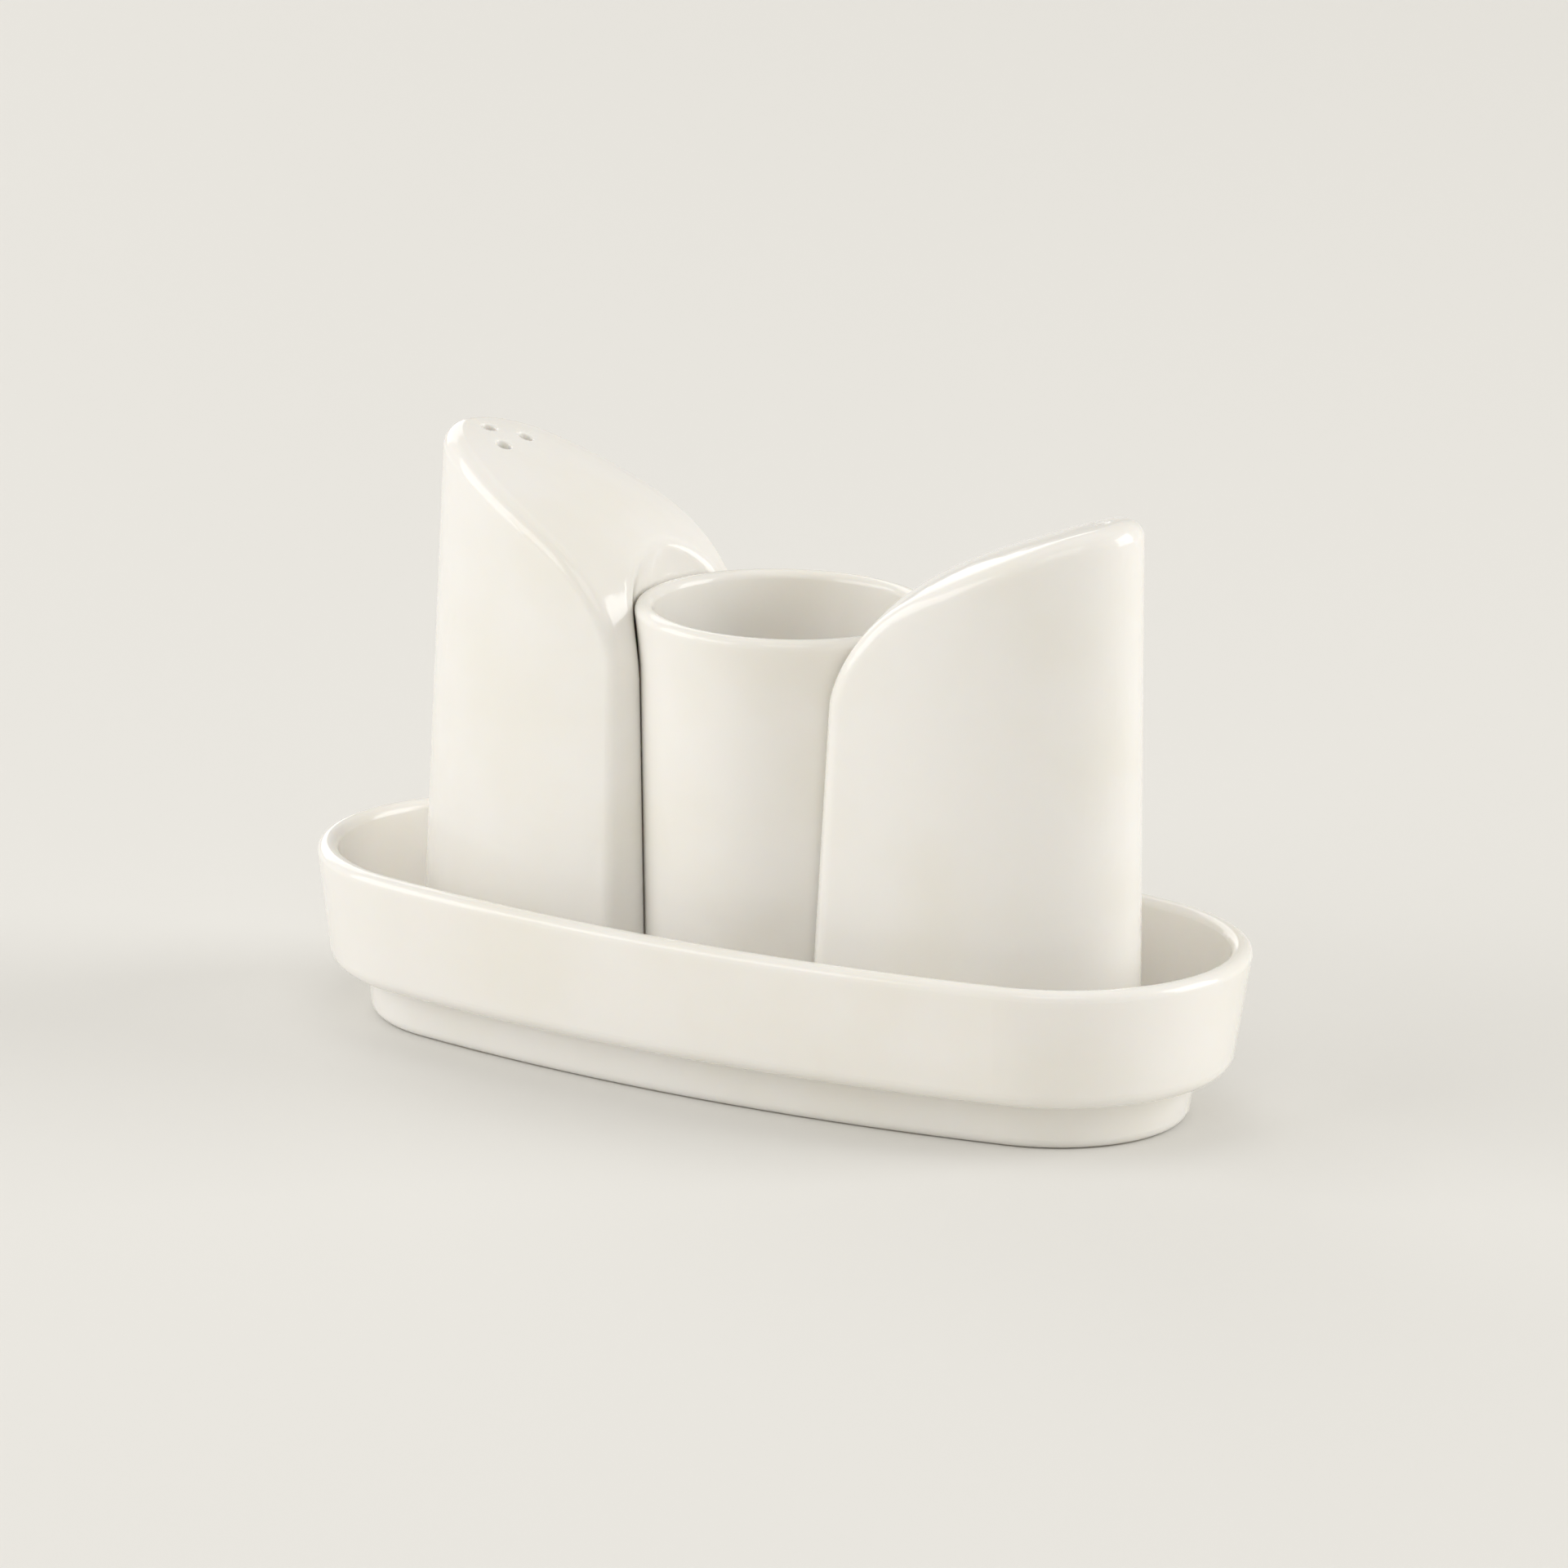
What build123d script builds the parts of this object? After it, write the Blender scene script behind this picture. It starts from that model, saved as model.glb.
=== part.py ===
from build123d import *

import os
from math import asin, cos, radians, sin, sqrt, tan

# Condiment set in glazed porcelain: an oval footed tray carries a toothpick cup between a salt
# shaker and a pepper shaker, and a soft stopper closes the filling hole under each shaker.
# Millimetres, +Z up, origin in the middle of the tray's foot, the tray's long side along X,
# salt towards -X and pepper towards +X. Angles are in degrees.

# Tray
tray_length = 165.0
tray_width = 75.0
tray_side_bow = 5.1  # how far the long sides bow out past the end arcs
tray_height = 28.6
tray_wall = 3.4
tray_draft = 8.2
tray_floor = 4.0
tray_rim_round = 1.5
tray_bottom_round = 3.0
tray_inner_round = 3.5
foot_height = 8.3
foot_inset = 8.5  # from the rim's outline to the foot's outer face where it meets the body
foot_width = 7.3  # where it meets the body
foot_draft = 8.0
foot_round = 2.0
foot_inner_round = 0.8
foot_cove = 1.0

# Toothpick cup
cup_height = 64.0
cup_lip_radius = 24.7
cup_base_radius = 21.9
cup_flare = 0.7  # how far the lip turns out past the wall's taper
cup_flare_height = 12.0
cup_wall = 3.0
cup_lip_round = 1.4
cup_floor = 5.0
cup_base_round = 2.0
cup_inner_round = 5.0
cup_foot_width = 3.2
cup_foot_depth = 1.2

# Shakers
shaker_gap = 0.35  # from the cup's lip to the hollow face that nests round it
shaker_end_gap = 17.3  # from a shaker's nose, at the tray's floor, to the tray's rim
shaker_widest = 23.0  # from the set's middle to where the sides begin to close in
shaker_width = 44.0
shaker_draft = 1.4
shaker_wall = 3.6
shaker_crown = 70.0  # radius across the sloping top
shaker_floor = 5.0
shaker_foot_width = 3.6
shaker_foot_depth = 1.8
horn_round = 3.0
edge_round = 3.0
seat_round = 1.0

shaker_height = 88.0  # from the tray's floor to the end of the ridge line

# Ridge line along the middle of a shaker's top, as shares of the reach from the set's middle to a
# shaker's nose and of shaker_height. It starts straight up, runs on past the nose to clear it, and
# ends at ridge_end_slope.
ridge = [
    (0.244, 0.511),
    (0.273, 0.682),
    (0.376, 0.796),
    (0.552, 0.882),
    (0.767, 0.948),
    (1.074, 1.0),
]
ridge_end_slope = 10.0

# Holes and stoppers
pour_hole = 2.4
pour_depth = 20.0  # from a shaker's highest point down into its chamber
pour_round = 0.4
salt_holes = [(8.8, 0.0), (13.6, 3.4), (13.6, -3.4)]  # back from the nose, and to each side
pepper_holes = [(8.4, 0.0)]
fill_hole = 21.0
stopper_fit = 0.05  # all round, in the filling hole
stopper_flange = 25.0
stopper_flange_thick = 1.2
stopper_plug = 6.0  # height over the flange
stopper_wall = 3.0
stopper_tab_thick = 2.0
stopper_chamfer = 0.8

cut_over = 10.0  # how far a cutting form runs past what it cuts
level_tolerance = 0.001

floor_top = foot_height + tray_floor
hollow_radius = cup_lip_radius + shaker_gap
shaker_reach = tray_length / 2 - shaker_end_gap
shaker_top = floor_top + shaker_height
fill_centre = (hollow_radius + shaker_reach) / 2


def level(edges, height):
    """Those edges that lie flat at one height."""
    return edges.filter_by_position(Axis.Z, height - level_tolerance, height + level_tolerance)


def oval(half_length, half_width):
    """Four-arc oval: two end arcs joined by two long, shallow side arcs."""
    end_radius = half_width - tray_side_bow
    end_centre = half_length - end_radius
    side_radius = (end_centre**2 + half_width**2 - end_radius**2) / (2 * tray_side_bow)
    turn = asin(end_centre / (side_radius - end_radius))
    joint_x = side_radius * sin(turn)
    joint_y = side_radius * cos(turn) - (side_radius - half_width)
    with BuildLine() as outline:
        for side in (1, -1):
            ThreePointArc((-joint_x, side * joint_y), (0, side * half_width), (joint_x, side * joint_y))
            ThreePointArc((side * joint_x, joint_y), (side * half_length, 0), (side * joint_x, -joint_y))
    make_face(outline.edges())


def half_oval(inset):
    """Plan of a shaker without its hollow face: half an ellipse with straight sides to the middle."""
    half_width = shaker_width / 2 - inset
    nose = shaker_reach - shaker_widest - inset
    left_joint = (shaker_widest, half_width)
    right_joint = (shaker_widest, -half_width)
    with BuildLine() as outline:
        EllipticalCenterArc((shaker_widest, 0), nose, half_width, -90, arc_size=180)
        Polyline(left_joint, (0, half_width), (0, -half_width), right_joint)
    make_face(outline.edges())


def shaker_form(inset, base, rounded):
    """Body of a shaker on the +X side, or its chamber when every face moves in by the inset.

    A drafted half oval is hollowed to nest round the cup and cut off along the crowned ridge.
    """
    ridge_line = [
        (x * shaker_reach + inset, floor_top + z * shaker_height - inset) for x, z in ridge
    ]
    top = ridge_line[-1][1] + cut_over
    lean = tan(radians(shaker_draft))
    with BuildPart() as form:
        for height in (base, top):
            with BuildSketch(Plane.XY.offset(height)):
                half_oval(inset + (height - floor_top) * lean)
        loft(ruled=True)
        with BuildSketch(Plane.XY.offset(base)):
            Circle(hollow_radius + inset)
        extrude(amount=top - base, mode=Mode.SUBTRACT)
        if rounded:
            upright = form.edges().filter_by(lambda edge: edge.length > top - base)
            fillet(upright.group_by(Axis.X)[0], horn_round)

        end_slope = (cos(radians(ridge_end_slope)), sin(radians(ridge_end_slope)))
        with BuildLine(Plane.XZ) as ridge_path:
            Spline(ridge_line, tangents=[(0, 1), end_slope])
        with BuildSketch(Plane.XY.offset(ridge_line[0][1])):
            ridge_x = ridge_line[0][0]
            half_band = shaker_width / 2 + cut_over
            sag = shaker_crown - sqrt(shaker_crown**2 - half_band**2)
            with BuildLine():
                ThreePointArc((ridge_x + sag, -half_band), (ridge_x, 0), (ridge_x + sag, half_band))
                Polyline((ridge_x + sag, half_band), (ridge_x - shaker_reach, half_band),
                         (ridge_x - shaker_reach, -half_band), (ridge_x + sag, -half_band))
            make_face()
        sweep(path=ridge_path.wires()[0], mode=Mode.SUBTRACT)
    return form.part


with BuildPart() as tray:
    with BuildSketch(Plane.XY.offset(tray_height)):
        oval(tray_length / 2, tray_width / 2)
    extrude(amount=foot_height - tray_height, taper=tray_draft)
    fillet(level(tray.edges(), foot_height), tray_bottom_round)
    with BuildSketch(Plane.XY.offset(tray_height)):
        oval(tray_length / 2 - tray_wall, tray_width / 2 - tray_wall)
    extrude(amount=floor_top - tray_height, taper=tray_draft, mode=Mode.SUBTRACT)
    fillet(level(tray.edges(), floor_top), tray_inner_round)
    fillet(level(tray.edges(), tray_height), tray_rim_round)

    with BuildSketch(Plane.XY.offset(foot_height)):
        oval(tray_length / 2 - foot_inset, tray_width / 2 - foot_inset)
    extrude(amount=-foot_height, taper=foot_draft)
    fillet(level(tray.edges(Select.LAST), foot_height), foot_cove)
    fillet(level(tray.edges(), 0), foot_round)
    recess_inset = foot_inset + foot_width
    with BuildSketch(Plane.XY.offset(foot_height)):
        oval(tray_length / 2 - recess_inset, tray_width / 2 - recess_inset)
    extrude(amount=-foot_height, taper=-foot_draft, mode=Mode.SUBTRACT)
    fillet(level(tray.edges(Select.LAST), 0), foot_inner_round)


with BuildPart() as toothpick_cup:
    cup_top = floor_top + cup_height
    bend_height = cup_top - cup_flare_height
    taper = (cup_lip_radius - cup_flare - cup_base_radius) / cup_height
    bend_radius = cup_base_radius + taper * (bend_height - floor_top)
    inner_base = cup_base_radius - cup_wall + taper * cup_floor
    recess_radius = cup_base_radius - cup_foot_width
    outer_bend = (bend_radius, bend_height)
    inner_bend = (bend_radius - cup_wall, bend_height)
    outer_lip = (cup_lip_radius, cup_top)
    inner_lip = (cup_lip_radius - cup_wall, cup_top)
    with BuildSketch(Plane.XZ):
        with BuildLine():
            Polyline((0, floor_top + cup_foot_depth), (recess_radius, floor_top + cup_foot_depth),
                     (recess_radius, floor_top), (cup_base_radius, floor_top), outer_bend)
            TangentArc(outer_bend, outer_lip, tangent=(taper, 1))
            Line(outer_lip, inner_lip)
            TangentArc(inner_bend, inner_lip, tangent=(taper, 1))
            Polyline(inner_bend, (inner_base, floor_top + cup_floor), (0, floor_top + cup_floor),
                     (0, floor_top + cup_foot_depth))
        make_face()
    revolve(axis=Axis.Z)
    fillet(level(toothpick_cup.edges(), cup_top), cup_lip_round)
    fillet(level(toothpick_cup.edges(), floor_top).sort_by(SortBy.LENGTH)[-1], cup_base_round)
    fillet(level(toothpick_cup.edges(), floor_top + cup_floor), cup_inner_round)


body = shaker_form(0, floor_top, True)
chamber = shaker_form(shaker_wall, floor_top + shaker_floor, False)

with BuildPart() as blank_shaker:
    add(body)
    crown_face = blank_shaker.faces().sort_by(Axis.Z)[-1]
    fillet(crown_face.edges(), edge_round)
    fillet(level(blank_shaker.edges(), floor_top), seat_round)
    add(chamber, mode=Mode.SUBTRACT)
    with BuildSketch(Plane.XY.offset(floor_top)):
        half_oval(shaker_foot_width)
        Circle(hollow_radius + shaker_foot_width, mode=Mode.SUBTRACT)
    extrude(amount=shaker_foot_depth, mode=Mode.SUBTRACT)
    with BuildSketch(Plane.XY.offset(floor_top)):
        with Locations((fill_centre, 0)):
            Circle(fill_hole / 2)
    extrude(amount=shaker_floor, mode=Mode.SUBTRACT)


def pour_holes(places, side):
    """Round holes straight down through a shaker's top into its chamber."""
    with BuildSketch(Plane.XY.offset(shaker_top)) as holes:
        with Locations(*[(side * (shaker_reach - back), across) for back, across in places]):
            Circle(pour_hole / 2)
    extrude(holes.sketch, amount=-pour_depth, mode=Mode.SUBTRACT)


def rims(edges, count):
    """The highest closed edges, one round the outer end of each pouring hole."""
    return edges.sort_by(Axis.Z)[-count:]


with BuildPart() as pepper_shaker:
    add(blank_shaker.part)
    pour_holes(pepper_holes, 1)
    fillet(rims(pepper_shaker.edges(Select.LAST), len(pepper_holes)), pour_round)

with BuildPart() as salt_shaker:
    mirror(blank_shaker.part, about=Plane.YZ)
    pour_holes(salt_holes, -1)
    fillet(rims(salt_shaker.edges(Select.LAST), len(salt_holes)), pour_round)


with BuildPart() as pepper_stopper:
    seat = floor_top + shaker_foot_depth
    plug_radius = fill_hole / 2 - stopper_fit
    plug_top = seat + stopper_plug
    hollow_top = plug_top - stopper_wall
    with BuildSketch(Plane.XY.offset(seat)):
        with Locations((fill_centre, 0)):
            Circle(stopper_flange / 2)
    extrude(amount=-stopper_flange_thick)
    with BuildSketch(Plane.XY.offset(seat)):
        with Locations((fill_centre, 0)):
            Circle(plug_radius)
    extrude(amount=stopper_plug)
    chamfer(level(pepper_stopper.edges(), plug_top), stopper_chamfer)
    with BuildSketch(Plane.XY.offset(seat - stopper_flange_thick)):
        with Locations((fill_centre, 0)):
            Circle(plug_radius - stopper_wall)
            Rectangle(2 * plug_radius, stopper_tab_thick, mode=Mode.SUBTRACT)
    extrude(amount=hollow_top - seat + stopper_flange_thick, mode=Mode.SUBTRACT)

with BuildPart() as salt_stopper:
    mirror(pepper_stopper.part, about=Plane.YZ)


pieces = {
    "tray": tray,
    "toothpick_cup": toothpick_cup,
    "salt_shaker": salt_shaker,
    "salt_stopper": salt_stopper,
    "pepper_shaker": pepper_shaker,
    "pepper_stopper": pepper_stopper,
}
os.makedirs("parts", exist_ok=True)
for name, piece in pieces.items():
    piece.part.label = name
    export_step(piece.part, f"parts/{name}.step")
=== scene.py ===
"""Looks, camera and studio of a porcelain condiment set, laid out as a Blender add-on.

Lengths are metres in one frame: +Z is up, the origin is in the middle of the tray's foot, and the
tray's long side runs along X, with the salt shaker towards -X and the pepper shaker towards +X.
"""

import math

import bmesh
import bpy
from bpy.props import FloatProperty, FloatVectorProperty, PointerProperty, StringProperty
from mathutils import Matrix, Vector


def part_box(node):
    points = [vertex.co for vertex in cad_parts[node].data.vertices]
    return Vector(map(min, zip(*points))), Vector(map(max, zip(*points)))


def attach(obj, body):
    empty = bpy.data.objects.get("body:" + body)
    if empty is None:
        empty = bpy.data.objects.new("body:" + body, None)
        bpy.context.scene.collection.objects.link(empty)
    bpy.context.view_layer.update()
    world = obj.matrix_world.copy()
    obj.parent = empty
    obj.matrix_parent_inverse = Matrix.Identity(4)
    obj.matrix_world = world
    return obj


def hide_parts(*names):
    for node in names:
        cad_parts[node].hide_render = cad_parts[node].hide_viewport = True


bl_info = {
    "name": "Porcelain Condiment Set",
    "version": (1, 0, 0),
    "blender": (4, 5, 0),
    "location": "3D View > Sidebar > Condiment Set",
    "description": "Finishes a condiment set in glazed porcelain and sets up its studio",
    "category": "Object",
}

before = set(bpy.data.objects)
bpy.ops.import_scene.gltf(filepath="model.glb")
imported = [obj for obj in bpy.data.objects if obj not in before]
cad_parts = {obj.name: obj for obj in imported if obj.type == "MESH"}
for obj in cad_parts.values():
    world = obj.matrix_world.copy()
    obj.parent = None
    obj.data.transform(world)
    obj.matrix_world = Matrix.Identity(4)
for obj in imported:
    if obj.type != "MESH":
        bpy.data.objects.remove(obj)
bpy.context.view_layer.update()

MM = 0.001
WELD = 0.0005 * MM  # points of a tessellated face that are closer than this are one
CORE = 10 * MM  # radius that the closing hollow is drawn towards, well inside the cup
LOW_RINGS = 4  # level cuts through a shaker, evenly spaced up to the bend
SHARP_ANGLE = math.radians(35)  # a steeper edge between two faces stays sharp
COVE_SEGMENTS = 24  # flat strips along the curve from floor to backdrop
LIT_POINT = Vector((0, 0, 0.05))  # middle of the set, which every softbox faces

# Each softbox's name, place, width and height, and power in watts.
SOFTBOXES = (
    ("left_softbox", (-1.75, -0.98, 0.75), (1.3, 1.4), 14),
    ("front_softbox", (-1.0, -1.9, 1.1), (1.1, 1.1), 8),
    ("high_softbox", (1.0, -1.75, 1.9), (1.5, 1.2), 7),
    ("top_softbox", (0.0, 0.2, 2.1), (1.6, 1.6), 3),
    ("right_softbox", (1.75, 0.98, 0.75), (1.3, 1.5), 23),
    ("back_softbox", (-1.6, 1.2, 0.9), (1.4, 1.4), 8),
)


def linear(hex_colour):
    """An sRGB colour such as "EDE9E0" as linear red, green, blue and alpha."""
    channels = [int(hex_colour[i : i + 2], 16) / 255 for i in (0, 2, 4)]
    return [c / 12.92 if c <= 0.04045 else ((c + 0.055) / 1.055) ** 2.4 for c in channels] + [1]


class PorcelainSettings(bpy.types.PropertyGroup):
    """Glazed porcelain, fired white clay under a clear, slightly warm glaze."""

    glaze: StringProperty(
        name="Glaze", description="Colour of the glaze, sRGB hex", default="F2F0EC")
    pooled_glaze: StringProperty(
        name="Pooled glaze", description="Where the glaze ran thicker, sRGB hex", default="EDEAE1")
    pooling: FloatProperty(
        name="Pooling", description="Share of the pooled colour where the glaze is thickest",
        default=0.55, min=0, max=1)
    tone_size: FloatProperty(
        name="Tone size", description="Size of the soft changes in tone", default=22 * MM,
        unit="LENGTH")
    roughness: FloatProperty(
        name="Roughness", description="Roughness of the fired glaze", default=0.1, min=0, max=1)
    gloss_change: FloatProperty(
        name="Gloss change", description="How far the roughness strays from dimple to dimple",
        default=0.03, min=0, max=1)
    translucence: FloatProperty(
        name="Translucence", description="Share of the light that passes through the thin fired wall",
        default=0.3, min=0, max=1)
    depth: FloatProperty(
        name="Depth", description="How far light spreads inside the clay", default=2.5 * MM,
        unit="LENGTH")
    ripple_size: FloatProperty(
        name="Ripple size", description="Length of the slow ripples left by dipping",
        default=16 * MM, unit="LENGTH")
    ripple_height: FloatProperty(
        name="Ripple height", description="Height of the slow ripples", default=0.1 * MM,
        unit="LENGTH")
    peel_size: FloatProperty(
        name="Peel size", description="Size of the fine dimples in the glaze",
        default=1.6 * MM, unit="LENGTH")
    peel_height: FloatProperty(
        name="Peel height", description="Depth of the fine dimples", default=0.004 * MM,
        unit="LENGTH")
    bisque: StringProperty(
        name="Bisque", description="Bare fired clay of the foot rings, sRGB hex", default="D9D2C4")
    grit_size: FloatProperty(
        name="Grit size", description="Size of the grit in the bare clay", default=0.5 * MM,
        unit="LENGTH")
    grit_height: FloatProperty(
        name="Grit height", description="How far the grit stands out", default=0.04 * MM,
        unit="LENGTH")
    wiped_height: FloatProperty(
        name="Wiped height", description="How high the glaze was wiped back from a foot",
        default=0.35 * MM, unit="LENGTH")
    wiped_wander: FloatProperty(
        name="Wiped wander", description="How far the wiped edge wanders up and down",
        default=0.5 * MM, unit="LENGTH")
    wander_size: FloatProperty(
        name="Wander size", description="Length of the wiped edge's waves", default=9 * MM,
        unit="LENGTH")
    wiped_fade: FloatProperty(
        name="Wiped fade", description="Height in which the glaze thins out at the wiped edge",
        default=0.15 * MM, unit="LENGTH")


class StopperSettings(bpy.types.PropertyGroup):
    """Soft moulded stoppers under the shakers."""

    colour: StringProperty(
        name="Colour", description="Colour of the moulded silicone, sRGB hex", default="D6D2C6")
    roughness: FloatProperty(
        name="Roughness", description="Roughness of the mould's face", default=0.48, min=0, max=1)
    grain_change: FloatProperty(
        name="Grain change", description="How far the roughness strays from grain to grain",
        default=0.06, min=0, max=1)
    grain_size: FloatProperty(
        name="Grain size", description="Grain that the mould leaves", default=0.35 * MM,
        unit="LENGTH")
    grain_height: FloatProperty(
        name="Grain height", description="Height of the mould's grain", default=0.015 * MM,
        unit="LENGTH")
    translucence: FloatProperty(
        name="Translucence", description="Share of the light that passes into the silicone",
        default=0.25, min=0, max=1)
    depth: FloatProperty(
        name="Depth", description="How far light spreads inside the silicone", default=2 * MM,
        unit="LENGTH")


class NestSettings(bpy.types.PropertyGroup):
    """How a shaker's hollow face follows the cup, which narrows towards its base."""

    hollow_radius: FloatProperty(
        name="Hollow radius", description="Radius of the hollow face before it closes in",
        default=25.05 * MM, unit="LENGTH")
    base_close: FloatProperty(
        name="Close at the base", description="How far the hollow closes in at a shaker's base",
        default=3.05 * MM, unit="LENGTH")
    bend_close: FloatProperty(
        name="Close at the bend", description="How far it closes in where the cup's lip flares",
        default=1.35 * MM, unit="LENGTH")
    bend_height: FloatProperty(
        name="Bend height", description="Height of the bend over a shaker's base",
        default=52 * MM, unit="LENGTH")
    lip_close: FloatProperty(
        name="Close at the lip", description="How far it closes in at the cup's lip and above",
        default=0.25 * MM, unit="LENGTH")
    lip_height: FloatProperty(
        name="Lip height", description="Height of the cup's lip over a shaker's base",
        default=64 * MM, unit="LENGTH")
    depth: FloatProperty(
        name="Depth", description="Depth of the wall that closes in with the hollow face",
        default=3.4 * MM, unit="LENGTH")


class StageSettings(bpy.types.PropertyGroup):
    """Floor, backdrop, the studio's air and the camera."""

    floor: StringProperty(
        name="Floor", description="Colour of the floor and backdrop, sRGB hex", default="E6E5E2")
    floor_size: FloatProperty(
        name="Floor size", description="Length of each side of the floor", default=6.0,
        unit="LENGTH")
    backdrop_height: FloatProperty(
        name="Backdrop height", description="Height of the backdrop over the floor", default=4.0,
        unit="LENGTH")
    cove_radius: FloatProperty(
        name="Cove radius", description="Radius in which the floor curves up into the backdrop",
        default=1.5, unit="LENGTH")
    fibre_size: FloatProperty(
        name="Fibre size", description="Size of the backdrop paper's clouds of fibre",
        default=2 * MM, unit="LENGTH")
    air: StringProperty(
        name="Air", description="Colour of the light from all around, sRGB hex", default="F3EFE7")
    air_strength: FloatProperty(
        name="Air strength", description="Strength of the light from all around", default=0.61)
    azimuth: FloatProperty(
        name="Azimuth", description="Camera's turn from the front towards +X",
        default=math.radians(29.48), subtype="ANGLE")
    elevation: FloatProperty(
        name="Elevation", description="Camera's angle over the floor",
        default=math.radians(15.13), subtype="ANGLE")
    roll: FloatProperty(
        name="Roll", description="Camera's turn about its own view",
        default=math.radians(1.4), subtype="ANGLE")
    distance: FloatProperty(
        name="Distance", description="From the camera to the set", default=2.0, unit="LENGTH")
    lens: FloatProperty(
        name="Lens", description="Focal length in millimetres", default=284.6)
    sight: FloatProperty(
        name="Sight", description="How far the camera sees", default=30.0, unit="LENGTH")
    aim: FloatVectorProperty(
        name="Aim", description="Point in the middle of the view",
        default=(0.00022, 0.00012, 0.04633), subtype="TRANSLATION", unit="LENGTH")


def settings(group):
    """One of the add-on's groups of settings."""
    return getattr(bpy.context.scene, "condiment_set_" + group)


def node(tree, kind, inputs=None, **values):
    """Adds a node with its settings, and sets or links its inputs."""
    made = tree.nodes.new(kind)
    for key, value in values.items():
        setattr(made, key, value)
    for key, value in (inputs or {}).items():
        if isinstance(value, bpy.types.NodeSocket):
            tree.links.new(value, made.inputs[key])
        else:
            made.inputs[key].default_value = value
    return made


def new_material(name):
    """An empty node material and its tree."""
    material = bpy.data.materials.new(name)
    material.use_nodes = True
    material.node_tree.nodes.clear()
    return material, material.node_tree


def dress(name, material):
    """Gives a CAD piece its finish, in place of the plain one that it was packed with."""
    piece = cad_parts[name]
    piece.data.materials.clear()
    piece.data.materials.append(material)


def glaze(tree, place):
    """Clear glaze over ivory clay, as a shader.

    It gives a wet, sharp gloss, with slow ripples that bend the reflections a little and fine
    dimples that take the mirror off them. Where it ran thicker it is a shade warmer.
    """
    look = settings("porcelain")
    tone = node(tree, "ShaderNodeTexNoise",
                {"Vector": place, "Scale": 1 / look.tone_size, "Detail": 3.0, "Roughness": 0.45})
    pooled = node(tree, "ShaderNodeMapRange",
                  {"Value": tone.outputs["Fac"], "From Min": 0.38, "From Max": 0.72,
                   "To Min": 0.0, "To Max": look.pooling}, interpolation_type="SMOOTHSTEP")
    colour = node(tree, "ShaderNodeMix",
                  {"Factor": pooled.outputs["Result"], "A": linear(look.glaze),
                   "B": linear(look.pooled_glaze)}, data_type="RGBA")

    ripple = node(tree, "ShaderNodeTexNoise",
                  {"Vector": place, "Scale": 1 / look.ripple_size, "Detail": 1.0})
    peel = node(tree, "ShaderNodeTexNoise",
                {"Vector": place, "Scale": 1 / look.peel_size, "Detail": 2.0})
    rippled = node(tree, "ShaderNodeBump",
                   {"Height": ripple.outputs["Fac"], "Strength": 1.0,
                    "Distance": look.ripple_height})
    dimpled = node(tree, "ShaderNodeBump",
                   {"Height": peel.outputs["Fac"], "Strength": 1.0, "Distance": look.peel_height,
                    "Normal": rippled.outputs["Normal"]})
    gloss = node(tree, "ShaderNodeMapRange",
                 {"Value": peel.outputs["Fac"], "From Min": 0.3, "From Max": 0.7,
                  "To Min": look.roughness - look.gloss_change,
                  "To Max": look.roughness + look.gloss_change})
    return node(tree, "ShaderNodeBsdfPrincipled",
                {"Base Color": colour.outputs["Result"], "Roughness": gloss.outputs["Result"],
                 "IOR": 1.5, "Subsurface Weight": look.translucence,
                 "Subsurface Radius": (1.0, 0.85, 0.65), "Subsurface Scale": look.depth,
                 "Normal": dimpled.outputs["Normal"]}).outputs["BSDF"]


def bisque(tree, place):
    """Bare fired clay, as a shader: dry, matt and gritty, and a shade darker than the glaze."""
    look = settings("porcelain")
    grit = node(tree, "ShaderNodeTexNoise",
                {"Vector": place, "Scale": 1 / look.grit_size, "Detail": 4.0, "Roughness": 0.7})
    rough = node(tree, "ShaderNodeBump",
                 {"Height": grit.outputs["Fac"], "Strength": 1.0, "Distance": look.grit_height})
    return node(tree, "ShaderNodeBsdfPrincipled",
                {"Base Color": linear(look.bisque), "Roughness": 0.85, "IOR": 1.45,
                 "Normal": rough.outputs["Normal"]}).outputs["BSDF"]


def wiped_foot(tree, place, foot_height):
    """Where the glaze was wiped off a foot by hand: 1 on bare clay, 0 above its wandering edge."""
    look = settings("porcelain")
    height = node(tree, "ShaderNodeSeparateXYZ", {"Vector": place}).outputs["Z"]
    wander = node(tree, "ShaderNodeTexNoise",
                  {"Vector": place, "Scale": 1 / look.wander_size, "Detail": 2.0})
    edge = node(tree, "ShaderNodeMath",
                {0: wander.outputs["Fac"], 1: look.wiped_wander, 2: height},
                operation="MULTIPLY_ADD")
    bare_height = foot_height + look.wiped_height
    return node(tree, "ShaderNodeMapRange",
                {"Value": edge.outputs["Value"], "From Min": bare_height,
                 "From Max": bare_height + look.wiped_fade,
                 "To Min": 1.0, "To Max": 0.0}).outputs["Result"]


def glazed_porcelain(name, foot_height):
    """Slip-cast porcelain, dipped in clear glaze and fired; its foot ring is wiped bare."""
    material, tree = new_material(name)
    place = node(tree, "ShaderNodeTexCoord").outputs["Object"]
    mix = node(tree, "ShaderNodeMixShader",
               {1: glaze(tree, place), 2: bisque(tree, place),
                "Fac": wiped_foot(tree, place, foot_height)})
    node(tree, "ShaderNodeOutputMaterial", {"Surface": mix.outputs["Shader"]})
    return material


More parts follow.
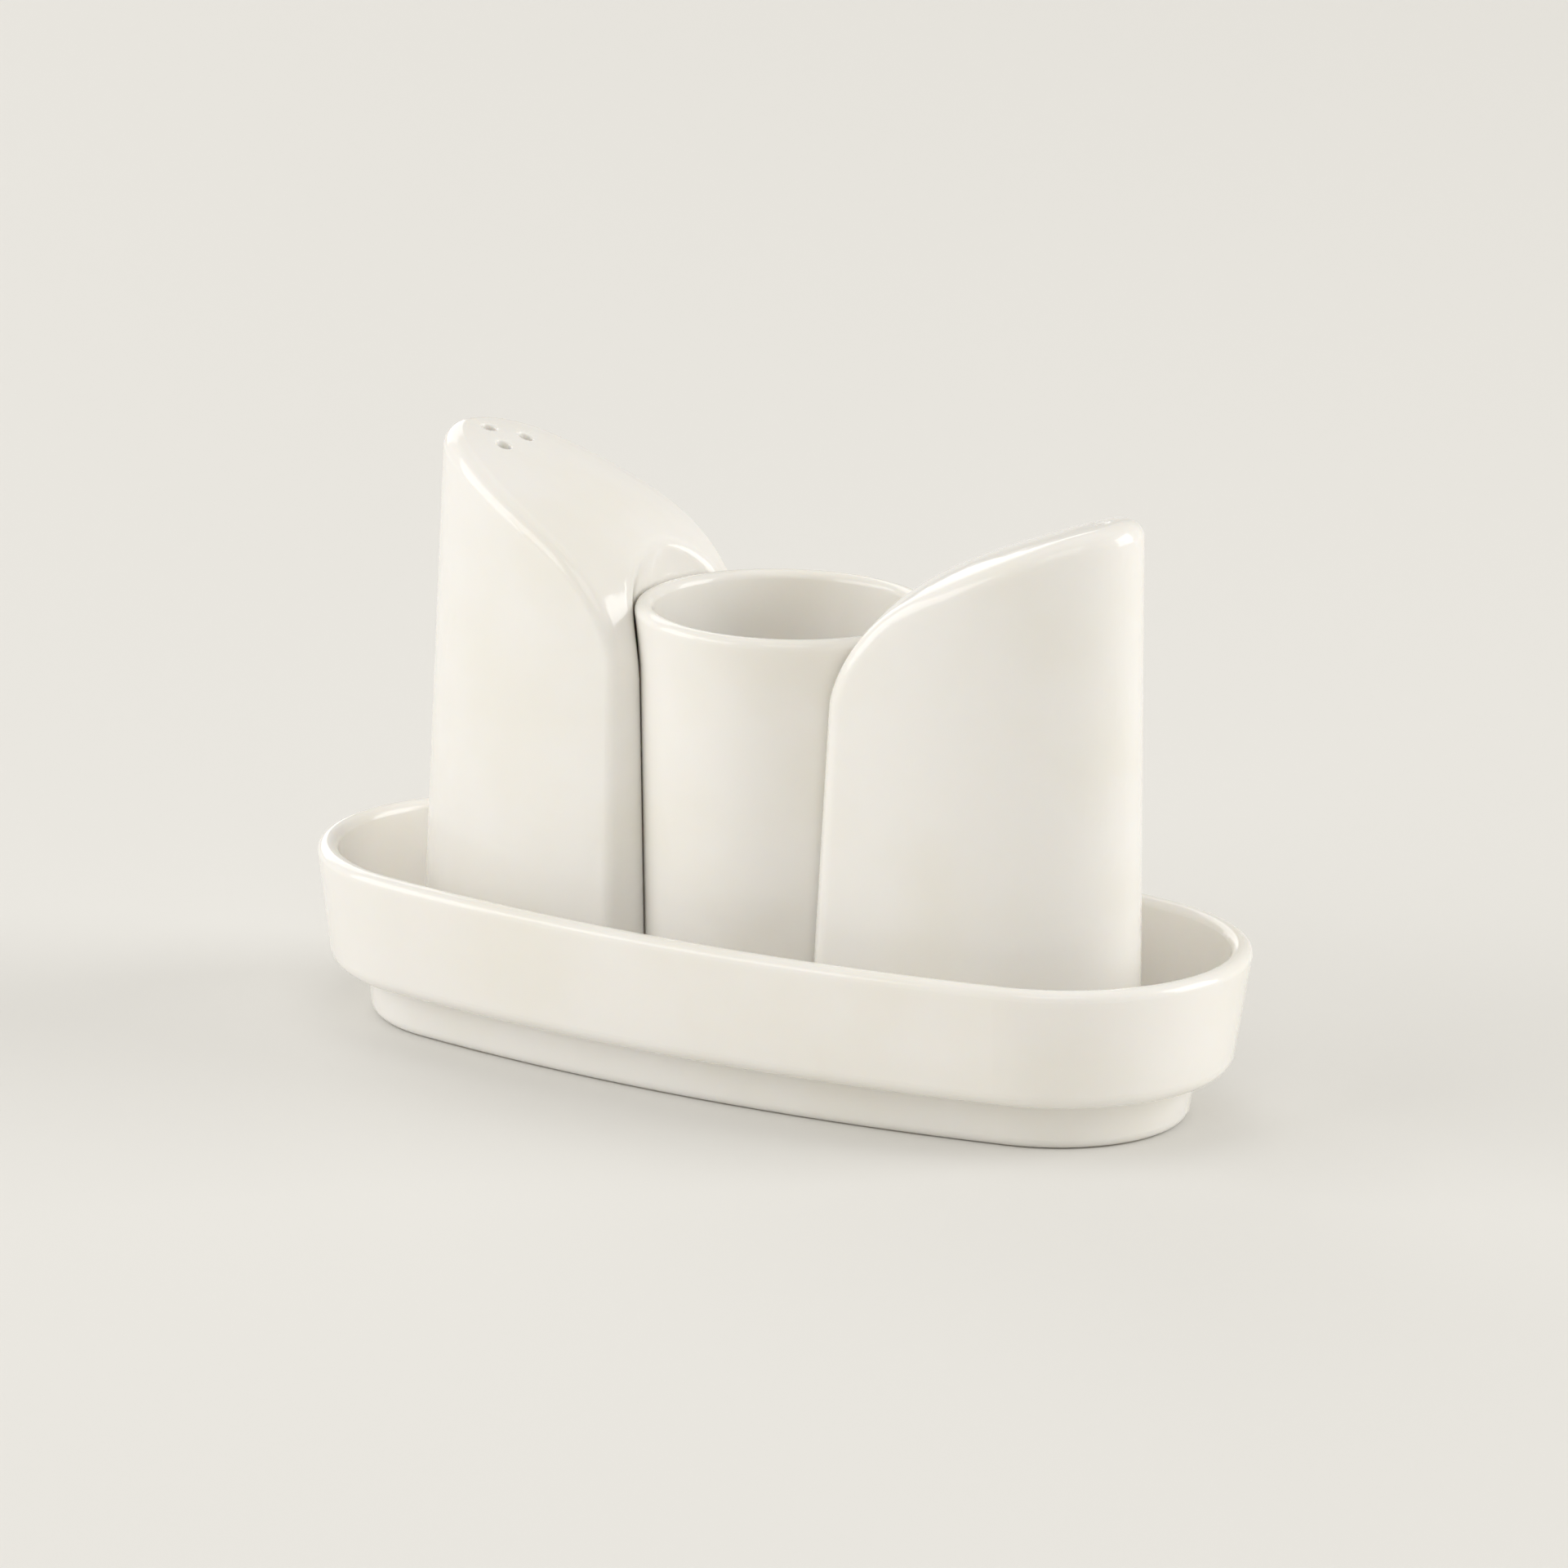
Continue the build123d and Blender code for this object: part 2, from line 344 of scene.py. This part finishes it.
def moulded_silicone():
    """Soft silicone from a steel mould: matt, a little milky, with the mould's fine grain."""
    look = settings("stopper")
    material, tree = new_material("moulded_silicone")
    place = node(tree, "ShaderNodeTexCoord").outputs["Object"]
    grain = node(tree, "ShaderNodeTexNoise",
                 {"Vector": place, "Scale": 1 / look.grain_size, "Detail": 3.0})
    bump = node(tree, "ShaderNodeBump",
                {"Height": grain.outputs["Fac"], "Strength": 1.0, "Distance": look.grain_height})
    shine = node(tree, "ShaderNodeMapRange",
                 {"Value": grain.outputs["Fac"], "From Min": 0.3, "From Max": 0.7,
                  "To Min": look.roughness - look.grain_change,
                  "To Max": look.roughness + look.grain_change})
    shader = node(tree, "ShaderNodeBsdfPrincipled",
                  {"Base Color": linear(look.colour), "Roughness": shine.outputs["Result"],
                   "IOR": 1.41, "Subsurface Weight": look.translucence,
                   "Subsurface Radius": (1.0, 0.9, 0.75), "Subsurface Scale": look.depth,
                   "Normal": bump.outputs["Normal"]})
    node(tree, "ShaderNodeOutputMaterial", {"Surface": shader.outputs["BSDF"]})
    return material


def matt_paper():
    """Matt backdrop paper: dry, with a faint cloudy fibre and next to no reflection."""
    look = settings("stage")
    material, tree = new_material("matt_paper_backdrop")
    place = node(tree, "ShaderNodeTexCoord").outputs["Object"]
    fibre = node(tree, "ShaderNodeTexNoise",
                 {"Vector": place, "Scale": 1 / look.fibre_size, "Detail": 3.0})
    rough = node(tree, "ShaderNodeMapRange",
                 {"Value": fibre.outputs["Fac"], "To Min": 0.85, "To Max": 1.0})
    paper = node(tree, "ShaderNodeBsdfPrincipled",
                 {"Base Color": linear(look.floor), "Roughness": rough.outputs["Result"],
                  "Specular IOR Level": 0.2})
    node(tree, "ShaderNodeOutputMaterial", {"Surface": paper.outputs["BSDF"]})
    return material


class CONDIMENT_OT_tray(bpy.types.Operator):
    """Glaze the tray"""

    bl_idname = "condiment.tray"
    bl_label = "Tray"

    def execute(self, context):
        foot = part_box("tray")[0].z
        dress("tray", glazed_porcelain("glazed_porcelain_tray", foot))
        return {"FINISHED"}


class CONDIMENT_OT_standing_pieces(bpy.types.Operator):
    """Glaze the toothpick cup and the two shakers, which stand on the tray's floor"""

    bl_idname = "condiment.standing_pieces"
    bl_label = "Cup and shakers"

    def execute(self, context):
        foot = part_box("toothpick_cup")[0].z
        porcelain = glazed_porcelain("glazed_porcelain_standing", foot)
        dress("toothpick_cup", porcelain)
        for name in ("salt_shaker", "pepper_shaker"):
            piece = self.nested(name, foot)
            piece.data.materials.append(porcelain)
            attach(piece, name)
            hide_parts(name)
        return {"FINISHED"}

    def nested(self, name, base):
        """A shaker whose hollow face and horns close in on the cup as the cup narrows.

        The hollow of the plain form stands straight, so below the cup's lip it leaves a dark slot.
        """
        piece = self.copied(name)
        bpy.ops.object.mode_set(mode="EDIT")
        bpy.ops.mesh.select_mode(type="VERT")
        bpy.ops.mesh.select_all(action="SELECT")
        bpy.ops.mesh.remove_doubles(threshold=WELD)
        self.cut_rings(base)
        bpy.ops.object.mode_set(mode="OBJECT")
        self.close_hollow(piece, base)
        bpy.ops.object.shade_smooth_by_angle(angle=SHARP_ANGLE)
        bpy.ops.object.modifier_add(type="WEIGHTED_NORMAL")
        weighted = piece.modifiers[-1]
        weighted.keep_sharp = True
        bpy.ops.object.modifier_apply(modifier=weighted.name)
        return piece

    def copied(self, name):
        """A plain copy of a CAD shaker, active and selected."""
        piece = bpy.data.objects.new(name + "_glazed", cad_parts[name].data.copy())
        piece.data.materials.clear()
        bpy.context.scene.collection.objects.link(piece)
        bpy.ops.object.select_all(action="DESELECT")
        piece.select_set(True)
        bpy.context.view_layer.objects.active = piece
        if piece.data.has_custom_normals:
            bpy.ops.mesh.customdata_custom_splitnormals_clear()
        return piece

    def cut_rings(self, base):
        """Cuts level rings, in edit mode, through a shaker whose tall faces are to bend."""
        nest = settings("nest")
        rings = [nest.bend_height * ring / LOW_RINGS for ring in range(1, LOW_RINGS + 1)]
        rings += [(nest.bend_height + nest.lip_height) / 2, nest.lip_height]
        for ring in rings:
            bpy.ops.mesh.select_all(action="SELECT")
            bpy.ops.mesh.bisect(plane_co=(0, 0, base + ring), plane_no=(0, 0, 1))

    def close_hollow(self, piece, base):
        """Draws the active shaker's hollow face in towards the cup.

        The wall behind the face follows it less and less, and stands still past its full depth.
        """
        nest = settings("nest")
        group = piece.vertex_groups.new(name="hollow")
        for vertex in piece.data.vertices:
            radius = math.hypot(vertex.co.x, vertex.co.y)
            closing = self.closing(vertex.co.z - base)
            past = max(0.0, radius - nest.hollow_radius) / nest.depth
            if closing > 0 and past < 1:
                share = 1 - past * past * (3 - 2 * past)
                group.add([vertex.index], closing * share / (radius - CORE), "REPLACE")
        bpy.ops.object.modifier_add(type="CAST")
        cast = piece.modifiers[-1]
        cast.cast_type = "CYLINDER"
        cast.use_z = False
        cast.factor = 1.0
        cast.use_radius_as_size = False
        cast.size = CORE
        cast.vertex_group = group.name
        bpy.ops.object.modifier_apply(modifier=cast.name)
        piece.vertex_groups.clear()

    def closing(self, height):
        """How far the hollow closes in at a height over a shaker's base."""
        nest = settings("nest")
        marks = ((0.0, nest.base_close), (nest.bend_height, nest.bend_close),
                 (nest.lip_height, nest.lip_close))
        for (low, start), (high, end) in zip(marks, marks[1:]):
            if height < high:
                return start + (end - start) * max(0.0, height - low) / (high - low)
        return nest.lip_close


class CONDIMENT_OT_stoppers(bpy.types.Operator):
    """Finish the two stoppers in moulded silicone"""

    bl_idname = "condiment.stoppers"
    bl_label = "Stoppers"

    def execute(self, context):
        silicone = moulded_silicone()
        for name in ("salt_stopper", "pepper_stopper"):
            dress(name, silicone)
        return {"FINISHED"}


class CONDIMENT_OT_stage(bpy.types.Operator):
    """Build the floor and backdrop, hang the lamps and place the camera"""

    bl_idname = "condiment.stage"
    bl_label = "Stage"

    def execute(self, context):
        self.cove()
        for softbox in SOFTBOXES:
            self.lamp(*softbox)
        self.air()
        self.camera()
        bpy.context.scene.view_settings.view_transform = "Standard"
        return {"FINISHED"}

    def cove(self):
        """A floor that curves up into the backdrop, so that no edge shows behind the set."""
        look = settings("stage")
        bpy.ops.object.select_all(action="DESELECT")
        bpy.ops.mesh.primitive_plane_add(size=look.floor_size)
        cove = bpy.context.object
        cove.name = "floor"
        bpy.ops.object.mode_set(mode="EDIT")
        bpy.ops.mesh.select_mode(type="EDGE")
        self.pick_edges(cove, lambda end: end.y > 0)
        bpy.ops.mesh.extrude_region_move(
            TRANSFORM_OT_translate={"value": (0, 0, look.backdrop_height)})
        self.pick_edges(cove, lambda end: end.y > 0 and end.z < look.backdrop_height / 2)
        bpy.ops.mesh.bevel(offset=look.cove_radius, segments=COVE_SEGMENTS, affect="EDGES")
        bpy.ops.mesh.select_all(action="SELECT")
        bpy.ops.mesh.normals_make_consistent(inside=False)
        bpy.ops.object.mode_set(mode="OBJECT")
        bpy.ops.object.shade_smooth()
        cove.data.materials.append(matt_paper())

    def pick_edges(self, cove, test):
        """Selects, in edit mode, only the edges whose two ends both pass a test."""
        bpy.ops.mesh.select_all(action="DESELECT")
        mesh = bmesh.from_edit_mesh(cove.data)
        for edge in mesh.edges:
            if all(test(vertex.co) for vertex in edge.verts):
                edge.select_set(True)
        bmesh.update_edit_mesh(cove.data)

    def lamp(self, name, place, size, power):
        """A soft rectangular lamp that faces the middle of the set."""
        data = bpy.data.lights.new(name, "AREA")
        data.shape = "RECTANGLE"
        data.size, data.size_y = size
        data.energy = power
        lamp = bpy.data.objects.new(name, data)
        bpy.context.scene.collection.objects.link(lamp)
        lamp.location = place
        aim = LIT_POINT - Vector(place)
        lamp.rotation_euler = aim.to_track_quat("-Z", "Y").to_euler()

    def air(self):
        """Even light from all around, as from a studio's pale walls."""
        look = settings("stage")
        world = bpy.data.worlds.new("studio_air")
        world.use_nodes = True
        background = world.node_tree.nodes["Background"]
        background.inputs["Color"].default_value = linear(look.air)
        background.inputs["Strength"].default_value = look.air_strength
        bpy.context.scene.world = world

    def camera(self):
        """The camera, turned, raised and rolled as the photograph's was."""
        look = settings("stage")
        turn, rise = look.azimuth, look.elevation
        back = Vector((math.sin(turn) * math.cos(rise),
                       -math.cos(turn) * math.cos(rise),
                       math.sin(rise)))
        right = Vector((math.cos(turn), math.sin(turn), 0))
        up = back.cross(right)
        across = right * math.cos(look.roll) + up * math.sin(look.roll)
        upward = up * math.cos(look.roll) - right * math.sin(look.roll)
        data = bpy.data.cameras.new("camera")
        data.lens = look.lens
        data.clip_end = look.sight
        camera = bpy.data.objects.new("camera", data)
        bpy.context.scene.collection.objects.link(camera)
        axes = Matrix((across, upward, back)).transposed().to_4x4()
        camera.matrix_world = Matrix.Translation(Vector(look.aim) + back * look.distance) @ axes
        bpy.context.scene.camera = camera


class CONDIMENT_PT_panel(bpy.types.Panel):
    """Lists the set's settings and the steps that make it"""

    bl_idname = "CONDIMENT_PT_panel"
    bl_label = "Condiment Set"
    bl_space_type = "VIEW_3D"
    bl_region_type = "UI"
    bl_category = "Condiment Set"

    def draw(self, context):
        for group in GROUPS:
            box = self.layout.box()
            box.label(text=group.capitalize())
            chosen = settings(group)
            for key in chosen.bl_rna.properties.keys():
                if key not in ("rna_type", "name"):
                    box.prop(chosen, key)
        for step in STEPS:
            self.layout.operator(step.bl_idname)


STEPS = (CONDIMENT_OT_stage, CONDIMENT_OT_tray, CONDIMENT_OT_standing_pieces, CONDIMENT_OT_stoppers)
GROUPS = {
    "porcelain": PorcelainSettings,
    "stopper": StopperSettings,
    "nest": NestSettings,
    "stage": StageSettings,
}


def register():
    for cls in (*GROUPS.values(), *STEPS, CONDIMENT_PT_panel):
        bpy.utils.register_class(cls)
    for name, group in GROUPS.items():
        setattr(bpy.types.Scene, "condiment_set_" + name, PointerProperty(type=group))


def unregister():
    for name in GROUPS:
        delattr(bpy.types.Scene, "condiment_set_" + name)
    for cls in reversed((*GROUPS.values(), *STEPS, CONDIMENT_PT_panel)):
        bpy.utils.unregister_class(cls)


def main():
    """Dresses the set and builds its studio."""
    register()
    bpy.ops.condiment.stage()
    bpy.ops.condiment.tray()
    bpy.ops.condiment.standing_pieces()
    bpy.ops.condiment.stoppers()


if __name__ == "__main__":
    main()
